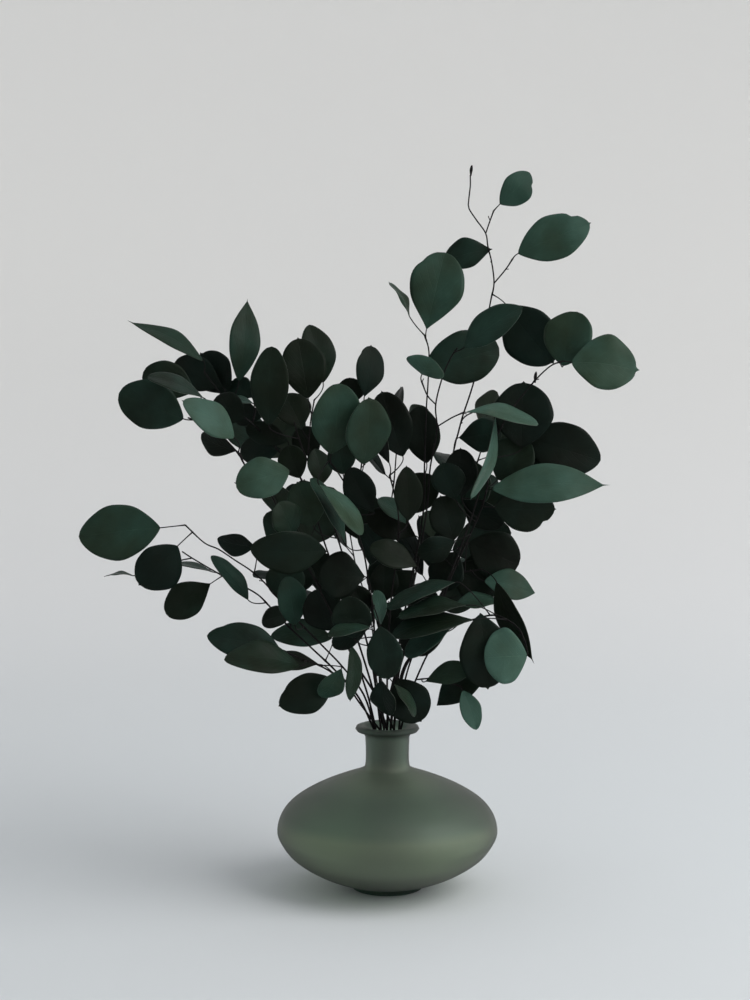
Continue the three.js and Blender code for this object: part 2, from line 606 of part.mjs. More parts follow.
// A plain geometry from a fused solid, without needle faces of no area
function toGeometry(fused) {
  const mesh = fused.getMesh();
  const step = mesh.numProp;
  const points = [];
  for (let i = 0; i < mesh.vertProperties.length; i += step) {
    points.push(mesh.vertProperties[i], mesh.vertProperties[i + 1], mesh.vertProperties[i + 2]);
  }
  const geometry = new THREE.BufferGeometry();
  geometry.setAttribute("position", new THREE.Float32BufferAttribute(points, 3));
  geometry.setIndex(Array.from(mesh.triVerts));
  geometry.computeVertexNormals();
  return geometry;
}

// The bottle's section: outside up from the foot, over the lip, and down inside to the floor
function bottleGeometry() {
  const outside = [
    [0, 0], [FOOT_RADIUS, 0], [FOOT_RADIUS, FOOT_HEIGHT], [50, 10], [70, 19], [88, 31.5], [98, 45],
    [BODY_RADIUS, 54], [97.5, 66], [90, 76.5], [78, 85.5], [62, 94], [44, 101.5], [30, 106.5], [21.5, 110.2],
    [NECK_RADIUS, 118], [20.2, 139], [23, 143], [27.6, 144.2], [RIM_RADIUS, 146.6], [25.5, BOTTLE_HEIGHT],
  ];
  const inside = [
    [16.8, 142], [NECK_RADIUS - WALL, 132], [16, 112], [43, 97.8], [76, 82], [91.5, 68.5],
    [BODY_RADIUS - WALL, 54], [92, 43.5], [74, 26], [49.5, 14], [33, 9.4], [0, FLOOR_Z],
  ];
  const section = [...outside, ...inside].map(([r, z]) => new THREE.Vector2(r, z));
  const geometry = new THREE.LatheGeometry(section, BOTTLE_SIDES);
  geometry.rotateX(Math.PI / 2);
  geometry.deleteAttribute("normal");
  geometry.deleteAttribute("uv");
  return weld(geometry);
}

// Points that fall together become one, and triangles that lose their area are dropped
function weld(geometry) {
  const source = geometry.getAttribute("position");
  const index = geometry.getIndex();
  const seen = new Map();
  const points = [];
  const renamed = [];
  for (let i = 0; i < source.count; i += 1) {
    const p = [source.getX(i), source.getY(i), source.getZ(i)];
    const key = p.map((v) => Math.round(v * 1000)).join(",");
    if (!seen.has(key)) {
      seen.set(key, points.length / 3);
      points.push(...p);
    }
    renamed.push(seen.get(key));
  }
  const faces = [];
  for (let i = 0; i < index.count; i += 3) {
    const [a, b, c] = [0, 1, 2].map((k) => renamed[index.getX(i + k)]);
    if (a !== b && b !== c && c !== a) faces.push(a, b, c);
  }
  const out = new THREE.BufferGeometry();
  out.setAttribute("position", new THREE.Float32BufferAttribute(points, 3));
  out.setIndex(faces);
  out.computeVertexNormals();
  return out;
}

const object = new THREE.Group();
object.name = "eucalyptus_in_bottle";

const glass = new THREE.MeshStandardMaterial({ color: 0x7f9482, roughness: 0.5, metalness: 0 });
const bottle = new THREE.Mesh(bottleGeometry(), glass);
bottle.name = "bottle";
object.add(bottle);

const { all, found } = placeLeaves();
all.forEach((branch, index) => {
  const shade = new THREE.Color(0x2f4a3c).offsetHSL(0, 0, (index % 5) * 0.012);
  const leafy = new THREE.MeshStandardMaterial({ color: shade, roughness: 0.6, metalness: 0 });
  const mesh = new THREE.Mesh(toGeometry(branchSolid(branch, found[index])), leafy);
  mesh.name = `branch_${branch.name}`;
  object.add(mesh);
});

export default object;
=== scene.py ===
# %% [markdown]
# # Eucalyptus branches in a frosted bottle
# The object is a bunch of preserved silver-dollar eucalyptus: thin dark stems, round leathery leaves on
# short stalks, and a flat-bodied bottle of frosted green glass. The CAD model already holds every stem and
# leaf as a plain faceted solid. Here each one gets its fine shape and its finish around that frame.

import math

import bmesh
import bpy
import numpy as np
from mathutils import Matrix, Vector


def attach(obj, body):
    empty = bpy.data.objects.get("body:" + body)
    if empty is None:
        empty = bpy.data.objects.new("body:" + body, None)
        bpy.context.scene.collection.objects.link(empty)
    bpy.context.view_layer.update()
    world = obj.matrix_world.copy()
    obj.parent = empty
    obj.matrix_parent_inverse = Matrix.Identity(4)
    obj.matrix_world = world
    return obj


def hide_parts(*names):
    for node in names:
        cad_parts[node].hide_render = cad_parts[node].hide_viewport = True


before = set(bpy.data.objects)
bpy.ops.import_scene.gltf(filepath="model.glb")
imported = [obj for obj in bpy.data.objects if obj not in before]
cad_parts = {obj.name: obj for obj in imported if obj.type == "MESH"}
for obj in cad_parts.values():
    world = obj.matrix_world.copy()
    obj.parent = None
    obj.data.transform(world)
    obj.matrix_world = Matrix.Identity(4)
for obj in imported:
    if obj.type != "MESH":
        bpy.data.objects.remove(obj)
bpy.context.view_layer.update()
MM = 0.001

# %% [markdown]
# ## Camera
# The ellipses of the bottle's lip and foot give the place of the camera: 1.49 m in front of the bottle's
# axis, 438 mm above the table and tilted down a little. The same eye is used below, because every branch
# is written down as it is seen from there.

# %% Camera at the photograph's viewing angle
EYE = np.array([-11.25, -1490.0, 438.0])
LOOK_DOWN = math.radians(3.2)
camera = bpy.data.objects.new("camera", bpy.data.cameras.new("camera"))
bpy.context.scene.collection.objects.link(camera)
camera.location = Vector(EYE * MM)
camera.rotation_euler = (math.pi / 2 - LOOK_DOWN, 0, 0)
camera.data.sensor_width = 36
camera.data.lens = 59.4
camera.data.clip_end = 100
bpy.context.scene.camera = camera
print("camera at", [round(v, 3) for v in camera.location])

# %% [markdown]
# ## The branches, written down as rows
# A branch is a handful of wood points, each with x to the right, z up and its depth behind the bottle's
# axis, and a row for each leaf: base x, base z, tip x, tip z, depth, lean of the tip, turn about the midrib
# in degrees, width, and tone from dark (0) to pale (1). The tone is partly the leaf's own colour and partly
# painted light and shade: leaves deep in the bunch are set near black as painted shade, and leaves that
# face the light from the right and above are set pale as painted light. Two more numbers, where they are
# given, choose the outline's form and the kind of tip. Lengths are in millimetres. Rows are easier to
# correct than free sculpting, and the CAD model is made from the same places, so both agree.

# %% Rows of the branches
BRANCHES = [
    {"name": "left_high", "seat": 7, "tilt": -0.04,
     "wood": [
         [[-22, 178, -4], [-41, 203, -4], [-60, 223, -5], [-88, 252, -8], [-110, 278, -10],
          [-123, 290, -10], [-138, 300, -8], [-153, 310, -5], [-166, 316, -3], [-183, 332, 0]]],
     "leaves": [
         [-205.5, 329.5, -279.5, 321.5, 2, 5, 10, 51.5, 0.55, 1],
         [-190, 313, -225, 278, -14, -5, -15, 43, 0.15, 2],
         [-120.5, 312.5, -154, 319.5, -25, 0, -40, 25, 0.15, 1],
         [-95, 262, -89, 300, 5, 5, 0, 36, 0.3, 2], [-84, 241, -92, 285, -34, -10, 20, 28, 0.55, 2]]},
    {"name": "left_low", "seat": 6, "tilt": 0.14,
     "wood": [
         [[-27, 176, 10], [-48, 200, 16], [-69, 220, 18], [-90, 240, 20], [-106, 257, 20],
          [-118, 269, 18], [-136, 279, 16], [-155, 289, 14], [-177, 302, 12], [-186, 308, 12]],
         [[-177, 302, 12], [-190, 299, 12], [-210, 290, 13], [-226, 286.5, 14]]],
     "leaves": [
         [-230, 286, -257, 285, 14, 0, 82, 18, 0.5], [-157, 289, -203, 294, 16, 6, 80, 28, 0.55],
         [-160, 279, -201, 251, 8, -6, 10, 34, 0.25], [-126.5, 264, -160, 304, 4, -8, 47, 24, 0.5, 1],
         [-88, 250, -114, 243, 10, 0, 40, 26, 0.1, 2], [-50, 229, -106, 231, 34, -6, 40, 32, 0.5, 1],
         [-83, 268.5, -79, 300, 24, 4, 0, 32, 0.03, 2]]},
    {"name": "low_left", "seat": 8, "tilt": -0.3,
     "wood": [
         [[-27, 172, -14], [-38, 189, -22], [-48, 196, -26], [-62, 204, -32], [-80, 211, -36],
          [-98, 219, -38]]],
     "leaves": [
         [-98, 219, -164, 231, -36, 4, 15, 33, 0.35, 1],
         [-79.5, 204, -148.5, 209, -56, -6, 40, 34, 0.35, 1],
         [-62, 205, -108, 206, -16, 10, 50, 28, 0.2], [-50, 191.5, -98.5, 167, -34, 0, -8, 35, 0.2, 1],
         [-41.5, 201.5, -59.5, 175, -52, 10, -30, 23.5, 0.62]]},
    {"name": "upper_left_low", "seat": 9, "tilt": -0.2,
     "wood": [
         [[-10, 175, -14], [-28, 205, -20], [-50, 250, -30], [-75, 300, -36], [-101, 351, -36],
          [-106, 360, -36], [-118, 373, -34], [-128, 385, -32], [-135, 397, -30], [-150, 413, -28],
          [-166, 424, -24], [-180, 429, -20]]],
     "leaves": [
         [-184, 428, -242, 451, -18, 4, 0, 41.5, 0.35, 2],
         [-138.5, 411, -184.5, 444, -50, -8, 35, 31, 0.8, 1],
         [-136, 399, -168, 414, -18, 8, -45, 26, 0.1],
         [-88.5, 381, -136.5, 366, -52, -6, 20, 37, 0.7, 2],
         [-55.5, 308.5, -124.5, 311, -50, -6, -20, 39.5, 0.2, 1],
         [-166, 447, -216, 466, -40, 6, 60, 28, 0.4], [-172, 452, -220, 470, -10, 10, 10, 34, 0.3],
         [-52, 236, -66, 273, -24, 0, 0, 36, 0.03, 2],
         [-86, 322, -98.5, 352.5, -52, -4, 25, 30, 0.45, 2]]},
    {"name": "upper_left_mid", "seat": 14, "tilt": 0.12,
     "wood": [
         [[-20, 205, 9], [-38, 260, 12], [-55, 310, 14], [-74, 366, 14], [-87, 385, 12],
          [-100, 401, 10], [-120, 422, 6], [-144, 442, 2], [-150, 450, 0], [-165, 470, -5]]],
     "leaves": [
         [-166, 480, -230.5, 514.5, -6, 6, 48, 21.5, 0.45, 3, 3],
         [-134, 462, -126, 534, 0, 8, 15, 30, 0.5, 3],
         [-143, 451.5, -167.5, 486, 15, 12, -10, 38, 0.1, 2, 3],
         [-148, 456, -192, 478, 10, 8, 0, 34, 0.1], [-121, 442, -143, 443, -8, 0, 75, 28, 0.6],
         [-122, 447, -140, 462, 5, 0, 0, 24, 0.25], [-112, 430, -142, 436, 18, 5, -20, 26, 0.1],
         [-96, 401, -133, 398, 20, 8, 0, 28, 0.2], [-79, 374.5, -90.5, 403.5, -6, 6, 0, 27, 0.2, 2],
         [-128.5, 429, -156.5, 445, -36, 8, 0, 30, 0.08, 2],
         [-90, 408, -127.5, 420.5, -20, 0, 0, 22, 0.15, 2]]},
    {"name": "upper_left_top", "seat": 15, "tilt": 0.05,
     "wood": [
         [[-14, 205, -1], [-28, 260, 0], [-45, 320, 0], [-64, 376, 0], [-72, 390, 0], [-80, 410, 0],
          [-84, 425, 0]],
         [[-72, 387, 0], [-70, 420, 4], [-66, 445, 6]]],
     "leaves": [
         [-107, 422, -104, 493, -30, -6, -15, 35, 0.3, 2],
         [-71.5, 446.5, -80.5, 500, -15, 4, 5, 41, 0.2, 2],
         [-58, 460.5, -70.5, 512.5, 12, 6, 20, 32.5, 0.3, 1], [-77, 418, -93, 450, 5, 8, 20, 36, 0.3],
         [-64, 392, -80, 420, 25, 5, 0, 28, 0.05], [-67, 331, -81.5, 370.5, -30, -8, 10, 36, 0.45, 2],
         [-59, 369, -65.5, 401, 14, 4, 20, 24, 0.35, 1]]},
    {"name": "centre_left", "seat": 16, "tilt": -0.16,
     "wood": [
         [[-8, 205, -6], [-15, 260, -6], [-20, 300, -6], [-28, 330, -6], [-34, 360, -6],
          [-45, 380, -6], [-53, 390, -6]],
         [[-28, 330, -6], [-26, 350, -12], [-25, 372, -12], [-22, 400, -8], [-19, 430, 0]]],
     "leaves": [
         [-51, 396.5, -43, 460, -20, -10, 15, 45, 0.6, 2],
         [-62, 369, -23, 323, -46, -10, -60, 32, 0.75], [-38, 315, -70, 374, -40, -8, 60, 30, 0.5],
         [-12, 343, -34, 384, -25, 0, -15, 28, 0.05],
         [-21.5, 387, -17, 446.5, -30, -8, 25, 42, 0.5, 2],
         [-21, 447.5, -15, 493.5, 5, 8, 28, 29, 0.2], [-34, 441.5, -34, 465, 4, 0, 10, 26, 0.1, 2],
         [-40, 378, -45.5, 409, -26, -4, 10, 26, 0.3, 1]]},
    {"name": "centre", "seat": 12, "tilt": -0.05,
     "wood": [
         [[0, 205, 0], [3, 260, 0], [9, 310, 0], [10, 340, 0], [6, 361, 0], [2, 377, 0]]],
     "leaves": [
         [2, 387, -16, 447, -14, -6, -50, 30, 0.02], [14, 394, -5, 452, 0, 6, 0, 36, 0.02, 2],
         [17, 333, -8, 356, 14, 6, 50, 26, 0.6], [19, 336, 17, 385, -20, 0, 10, 26, 0.15, 1],
         [4, 227.5, 2.5, 262, 12, 4, 0, 27, 0.03, 2], [-3, 262, -3, 297.5, 16, 4, 0, 26, 0.03, 2]]},
    {"name": "tall_left", "seat": 13, "tilt": 0.02,
     "wood": [
         [[8, 205, 4], [17, 260, 4], [27, 310, 4], [33, 350, 4], [33.5, 390, 4], [35, 436, 4],
          [36.5, 460, 4], [37.3, 488, 4], [33.5, 503, 4]]],
     "leaves": [
         [35, 508, 51.5, 577, 0, 8, 0, 50, 0.62], [20, 519.5, 1.5, 550, -10, 0, 77, 26, 0.5],
         [33, 474.5, 100.5, 491.5, 8, 6, 5, 49, 0.42, 2], [35.5, 388, 28, 439, 12, -4, 0, 33, 0.03, 2],
         [26, 322, -19, 341, -20, -4, 10, 30, 0.03], [27, 294, -16, 312, -30, -4, 30, 28, 0.2],
         [25, 291, 3, 268, -22, 0, 20, 28, 0.15]]},
    {"name": "tall_mid", "seat": 17, "tilt": -0.05,
     "wood": [
         [[10, 205, -4], [20, 260, -4], [30, 310, -4], [36, 350, -4], [38.4, 382, -4], [42, 402, -4],
          [44.8, 420, -4], [43.5, 441, -4], [50, 467, -4], [57, 483, -4], [63, 492, -5]],
         [[43.5, 441, -4], [36, 449, -9], [31, 461, -12]],
         [[44.8, 421, -4], [58, 429, -8], [68, 433.5, -12]]],
     "leaves": [
         [31, 468, 39, 483, -25, -20, 0, 36, 0.9], [69, 492, 121, 528, -14, -6, -32, 32.5, 0.45, 1],
         [70, 434, 136, 423, -18, 4, -68, 36, 0.85]]},
    {"name": "tall_right", "seat": 2, "tilt": 0.1, "bud": [74.5, 650, 24],
     "wood": [
         [[11, 200, 12], [25, 240, 16], [40, 290, 22], [52, 345, 24], [60, 400, 24], [63.5, 414, 24],
          [68, 431, 24], [75, 452, 24], [81, 474, 24], [88, 508, 24], [92.7, 534, 24],
          [95.6, 549.5, 24], [93.5, 568, 24], [90, 582, 24], [88, 594, 24], [79.6, 606, 24],
          [73, 616, 24], [72.6, 623, 24], [74, 636, 24], [74, 646, 24]],
         [[88, 594, 24], [91, 603, 24], [95, 614, 24]],
         [[95.6, 549.5, 24], [106, 562, 22], [112, 571, 21]],
         [[63, 412, 24], [68, 428, 18], [79, 435, 14]]],
     "leaves": [
         [100.5, 620, 127.5, 647.5, 24, 4, 15, 30, 0.62, 1, 2],
         [117, 576, 181, 603, 20, 0, -10, 43, 0.7, 1, 1], [93.5, 580, 51.5, 570, 28, 6, 20, 30, 0.35],
         [107.5, 529.5, 149, 479, 20, 6, 10, 51.5, 0.22, 2], [64, 411, 103, 417, 12, 5, 10, 33, 0.3]]},
    {"name": "right_high", "seat": 11, "tilt": -0.05, "bud": [132.9, 465.5, -5.5],
     "wood": [
         [[14, 195, -8], [35, 235, -12], [58, 290, -14], [78, 345, -12], [92, 395, -10],
          [108, 430, -7], [129, 458, -3], [146, 475, 0], [158, 480, 2]],
         [[129, 458, -3], [132.6, 463, -5]]],
     "leaves": [
         [165.5, 479, 224, 472, 2, -4, -25, 53, 0.72, 2, 3],
         [158, 475.5, 170.5, 524, 26, 4, -20, 47, 0.62, 2],
         [121, 402, 122.5, 460.5, 12, 6, 0, 54, 0.1, 2], [97.5, 430.5, 75.5, 356.5, -8, -6, -70, 32, 1]]},
    {"name": "right_mid", "seat": 18, "tilt": 0,
     "wood": [
         [[14, 200, 0], [38, 235, 0], [62, 295, 0], [80, 335, 0], [88, 357, 0], [93, 385, 2],
          [98, 410, 3], [104, 436, 4]]],
     "leaves": [
         [99.5, 373, 127, 408.5, -16, -4, -10, 42, 0.35, 2],
         [94.5, 364.5, 196, 368, -36, 0, -20, 38, 0.8, 3, 3],
         [123.5, 412, 192.5, 390.5, 5, 5, 0, 50, 0.08, 1],
         [97, 348, 151.5, 346.5, -25, 0, 15, 42.5, 0.25, 1, 2],
         [67, 356, 104, 331, -12, 0, 30, 30, 0.08], [62, 355, 50, 388, -26, -4, -20, 32, 0.2],
         [67, 358, 66, 401, -28, 2, 5, 30, 0.05, 2], [60, 318, 48, 358, -20, 0, 10, 34, 0.1, 2],
         [62, 318, 28, 305, -8, 0, -20, 26, 0.15], [40, 320, 36, 345, 24, 0, 30, 22, 0.5],
         [62, 307.5, 46, 273, 20, 0, 10, 34, 0.04, 2], [109.5, 423, 144.5, 387.5, 12, 0, 0, 36, 0.05, 2]]},
    {"name": "right_low", "seat": 1, "tilt": 0.16,
     "wood": [
         [[16, 190, 5], [28, 225, 10], [45, 255, 11], [62, 285, 10], [85, 292, 8]]],
     "leaves": [
         [99, 280, 132, 209, -22, -6, 35, 27, 0.15, 3, 3], [74, 316, 119, 296, 0, 4, 0, 46, 0.05, 2],
         [60, 284, 114, 292, 48, -4, 10, 46, 0.15, 2], [88, 281, 134, 270, 12, 4, -30, 32, 0.7, 3],
         [60, 259, 99, 263, -6, 5, -55, 26, 0.6], [58, 296, 96, 272, 5, 0, 0, 40, 0.1],
         [47.5, 264, 15, 267.5, 22, 0, 0, 28, 0.03, 1]]},
    {"name": "low_right", "seat": 0, "tilt": -0.24,
     "wood": [
         [[20, 175, 0], [26, 191, 0], [37, 215, 0], [47, 228, 0], [59, 239, 0], [78, 246, 0],
          [96, 250, 0], [108, 246, -3], [119, 238, -8], [125, 226, -16]],
         [[26, 191, 0], [42, 192, -8], [58, 188, -12], [68, 184, -14]]],
     "leaves": [
         [78, 246, 4, 231, -38, -8, 50, 32, 0.3], [127, 213, 88, 211, -26, -6, 10, 50, 0.97, 2],
         [84, 251, 91.5, 183.5, -20, -4, -10, 47, 0.15, 2],
         [92.5, 205.5, 45, 167, -24, -4, 15, 29, 0.3, 3], [34, 189, 78, 202, -18, 6, -20, 21, 0.45],
         [68.5, 181, 81.5, 145, -14, -4, -20, 20, 0.85, 1, 4],
         [58, 238, 16, 213, -30, -6, 45, 28, 0.55], [72, 259, 10, 248, -26, -8, 60, 30, 0.35],
         [62, 280, 0, 256, -10, -6, 60, 30, 0.4], [55, 235, 12, 222, 8, 0, 0, 30, 0.02]]},
    {"name": "low_front", "seat": 10, "tilt": -0.36,
     "wood": [
         [[-6, 175, -25], [-12, 205, -32], [-12, 240, -36], [-14, 262, -34]]],
     "leaves": [
         [-7, 240, 1, 192, -62, -8, 0, 31, 0.28, 2], [-6, 241, -12, 272, 2, 0, 50, 22, 0.7],
         [-30, 229, -35, 267, -40, 0, -5, 35, 0.25, 2], [-15, 239, -54, 231, -55, -4, 65, 26, 0.5],
         [-18, 237, -50, 222, -30, 0, 30, 24, 0.1], [-33, 222, -34, 172, -58, -6, -50, 22, 0.55, 1],
         [6, 187, 25, 157, -44, -6, -65, 22, 0.45], [9, 191.5, 30.5, 153, -36, -4, 0, 38, 0.1, 2],
         [-5, 190, 2, 158, -44, 0, 40, 26, 0.15, 1], [-20, 285, -62, 286, -24, 0, 0, 42, 0.03],
         [-17.5, 253, -32, 276.5, 2, 0, 0, 22, 0.03, 2]]},
]

# %% [markdown]
# The branches behind the front ones are grown by a rule instead: leaves stand round the wood by the golden
# angle, as they do on a living shoot, and a seeded draw sets their sizes.

# %% Routes of the back branches, as real points
BACK_BRANCHES = [
    {"name": "back_right", "seat": 3, "seed": 50, "wood": [
        [[4, 22, 180], [22, 44, 230], [52, 70, 300], [78, 90, 360], [92, 100, 400]],
        [[22, 44, 230], [40, 72, 256], [68, 108, 292], [90, 136, 326]]]},
    {"name": "back_middle", "seat": 4, "seed": 57, "wood": [
        [[-7, 24, 185], [-8, 46, 235], [-4, 70, 300], [6, 88, 360], [10, 96, 405]],
        [[-8, 46, 235], [-20, 82, 258], [-30, 118, 284], [-36, 146, 312]]]},
    {"name": "back_left", "seat": 5, "seed": 22, "wood": [
        [[-20, 20, 180], [-38, 40, 225], [-72, 64, 285], [-102, 84, 338], [-122, 96, 384]],
        [[-38, 40, 225], [-54, 80, 250], [-72, 114, 285], [-84, 138, 322]]]},
]
GOLDEN_ANGLE = 2.39996
GROWN_FIRST, GROWN_STEP, GROWN_WIDTH, GROWN_FORM = 34, 31, 0.76, 2
GROWN_LENGTH = (44, 62)
GROWN_ABOVE, GROWN_STALK = 215, 11
ALL_BRANCHES = BRANCHES + BACK_BRANCHES

# %% [markdown]
# ## From rows to places in space
# A row's point slides along the line from the eye to its depth, so the picture stays as it was read however
# far forward or back a leaf sits. Each branch also leans out towards or away from the viewer.

# %% Places of points, and smooth routes through them
NECK_Z, NECK_LOW_Z, STEM_END_Z = 146.0, 108.0, 10.4
OUTER_SEAT, INNER_SEAT, FLOOR_SPREAD = 12.4, 5.9, 2.2


def unit(vector):
    return vector / np.linalg.norm(vector)


def placed(x, z, depth, tilt):
    y = depth + tilt * math.hypot(x, z - NECK_Z)
    k = (y - EYE[1]) / -EYE[1]
    return np.array([EYE[0] + (x - EYE[0]) * k, y, EYE[2] + (z - EYE[2]) * k])


def smooth(points, step=3.0):
    """Stations about one step apart on a smooth curve through the points."""
    out = []
    for i in range(len(points) - 1):
        b, c = points[i], points[i + 1]
        a = points[i - 1] if i else 2 * b - c
        d = points[i + 2] if i + 2 < len(points) else 2 * c - b
        count = max(1, int(np.linalg.norm(c - b) / step + 0.5))
        for t in np.arange(count) / count:
            cubic = (3 * b - a - 3 * c + d) * t**3
            out.append(0.5 * (2 * b + (c - a) * t + (2 * a - 5 * b + 4 * c - d) * t * t + cubic))
    return out + [points[-1]]


def seat_at(index):
    """Where a stem passes the neck: twelve on the outer circle, one in the middle, six between."""
    if index == 12:
        return 0.0, 0.0
    angle = index * math.pi / 6 if index < 12 else (index - 12) * math.pi / 3
    radius = OUTER_SEAT if index < 12 else INNER_SEAT
    return radius * math.cos(angle), radius * math.sin(angle)


def wood_paths(branch):
    x, y = seat_at(branch["seat"])
    routes = [[np.array(p, float) if "seed" in branch else placed(*p, branch["tilt"]) for p in route]
              for route in branch["wood"]]
    foot = [np.array([x * FLOOR_SPREAD, y * FLOOR_SPREAD, STEM_END_Z]), np.array([x, y, NECK_LOW_Z])]
    main = foot + smooth([np.array([x, y, NECK_Z])] + routes[0])
    return [main] + [smooth(route) for route in routes[1:]]


woods = {branch["name"]: wood_paths(branch) for branch in ALL_BRANCHES}
print("branches:", len(woods), "wood points:", sum(len(p) for paths in woods.values() for p in paths))

# %% [markdown]
# ## The blade
# A silver-dollar leaf bends back a little along the midrib and its halves rise like an open book. Its
# outline is a wedge, an oval, a disc or drawn out to a point: a power of a sine draws all four, from where
# it is widest, how blunt the base is and how much sharper the apex is. The blade is a small frame of
# directions (along, across, out of the face) and a formula over it, so any leaf can stand in any place.

# %% The blade's formula
BLADE_ARCH, BLADE_FOLD = 0.07, 0.16
FORMS = [(1.2, 0.95, -0.45), (1.0, 0.8, -0.18), (1.08, 0.72, -0.22), (0.98, 0.8, 0.25)]


def half_width(s, form):
    peak, base, apex = FORMS[form]
    inside = np.clip(s, 1e-9, 1 - 1e-9)
    return 0.5 * np.sin(np.pi * inside**peak) ** (base + apex * inside) * (s > 0) * (s < 1)


def blade_frame(base, tip, facing, turn, width, tone, form=0, ending=0):
    along = unit(tip - base)
    flat = unit(facing - along * np.dot(facing, along))
    face = math.cos(turn) * flat + math.sin(turn) * np.cross(along, flat)
    return {"base": base, "along": along, "face": face, "across": np.cross(along, face),
            "length": np.linalg.norm(tip - base), "width": width, "tone": tone, "form": form,
            "ending": ending}


def on_blade(leaf, s, u):
    """Points of the blade: s runs from base to tip, u from -1 to 1 across."""
    s, u = np.asarray(s, float), np.asarray(u, float)
    half = leaf["width"] * half_width(s, leaf["form"])
    rise = BLADE_ARCH * leaf["length"] * np.sin(np.pi * s) + BLADE_FOLD * np.abs(u) * half
    return (leaf["base"] + leaf["along"] * (leaf["length"] * s)[..., None]
            + leaf["across"] * (u * half)[..., None] + leaf["face"] * rise[..., None])


# %% [markdown]
# ## Which places the leaves took
# In the CAD model a leaf whose first place would cut through another slides along its line of sight until
# it is clear. The scene doesn't repeat that search: for each possible place it looks whether the CAD node
# has a corner at the leaf's tip, and takes the place where it has.

# %% Choices of each leaf, and the one that the CAD node shows
SHIFTS = (0, 6, -6, 12, -12, 18, -18, 24, -24, 30, -30, 36, -36, 44, -44)
BLADE_THICKNESS = 0.7
CORNER_MATCH = 0.15


def row_frames(row, tilt):
    bx, bz, tx, tz, depth, lean, turn, width, *looks = row
    for shift in SHIFTS:
        base = placed(bx, bz, depth + shift, tilt)
        tip = placed(tx, tz, depth + shift + lean, tilt)
        yield blade_frame(base, tip, unit(EYE - base), math.radians(turn), width, *looks)


def seeded_draws(seed):
    while True:
        seed = seed * 16807 % 2147483647
        yield seed / 2147483647


def grown_frames(branch):
    """The possible leaves of a back branch, six directions for each station."""
    draws = seeded_draws(branch["seed"])
    next(draws)
    for path in woods[branch["name"]]:
        run, due, angle = 0.0, GROWN_FIRST, next(draws) * 2 * math.pi
        for i in range(1, len(path)):
            run += np.linalg.norm(path[i] - path[i - 1]) if path[i][2] > GROWN_ABOVE else 0
            last = i == len(path) - 1
            if run < due and not last:
                continue
            due = run + GROWN_STEP * (0.85 + 0.3 * next(draws))
            angle += GOLDEN_ANGLE
            along = unit(path[i] - path[i - 1])
            length = GROWN_LENGTH[0] + (GROWN_LENGTH[1] - GROWN_LENGTH[0]) * next(draws)
            across = unit(np.cross(along, [0, 0, 1]))
            up = np.cross(across, along)
            options = []
            for k in range(6):
                a = angle + k * math.pi / 3
                out = across * math.cos(a) + up * math.sin(a)
                way = unit((along if last else out + along * 0.6) + np.array([0, 0.35, 0.1]))
                base = path[i] + way * GROWN_STALK
                facing = unit(np.array([0, 0.9, 0.7]) + out * 0.5 + along * 0.3)
                # Painted shade: the back leaves are kept dark, as the shade inside the bunch.
                tone = 0.05 + 0.3 * (i * 0.37 % 1)
                options.append(blade_frame(base, base + way * length, facing, k * 0.2 - 0.5,
                                           length * GROWN_WIDTH, tone, GROWN_FORM))
            yield options


def shown_by(node, options):
    """The first option whose tip is a corner of the CAD node, or None where the leaf found no room."""
    for leaf in options:
        corner = on_blade(leaf, 1, 0) + leaf["face"] * BLADE_THICKNESS / 2
        if np.min(np.sum((node - corner) ** 2, axis=1)) < CORNER_MATCH**2:
            return leaf
    return None


leaves = {}
for branch in ALL_BRANCHES:
    node = np.array([v.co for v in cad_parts["branch_" + branch["name"]].data.vertices]) / MM
    if "seed" in branch:
        choices = grown_frames(branch)
    else:
        choices = (row_frames(row, branch["tilt"]) for row in branch["leaves"])
    found = (shown_by(node, list(options)) for options in choices)
    leaves[branch["name"]] = [leaf for leaf in found if leaf]
print("leaves found in the CAD nodes:", sum(len(found) for found in leaves.values()))

# %% [markdown]
# ## A small language for materials
# A material is a formula over the surface. `Signal` wraps the output of a node, so that sums and products
# can be written as in ordinary Python, and `Paint.node` makes every other kind of node.

# %% Signals and paints
class Signal:
    """The output of a node, which can be used in arithmetic."""

    def __init__(self, paint, socket):
        self.paint, self.socket = paint, socket

    def other(self, output):
        return Signal(self.paint, self.socket.node.outputs[output])

    def math(self, operation, *others):
        return self.paint.node("ShaderNodeMath", {"operation": operation}, dict(enumerate([self, *others])))

    def __add__(self, other):
        return self.math("ADD", other)

    def __sub__(self, other):
        return self.math("SUBTRACT", other)

    def __rsub__(self, other):
        return self.paint.node("ShaderNodeMath", {"operation": "SUBTRACT"}, {0: other, 1: self})

    def __mul__(self, other):
        return self.math("MULTIPLY", other)

    __radd__ = __add__
    __rmul__ = __mul__


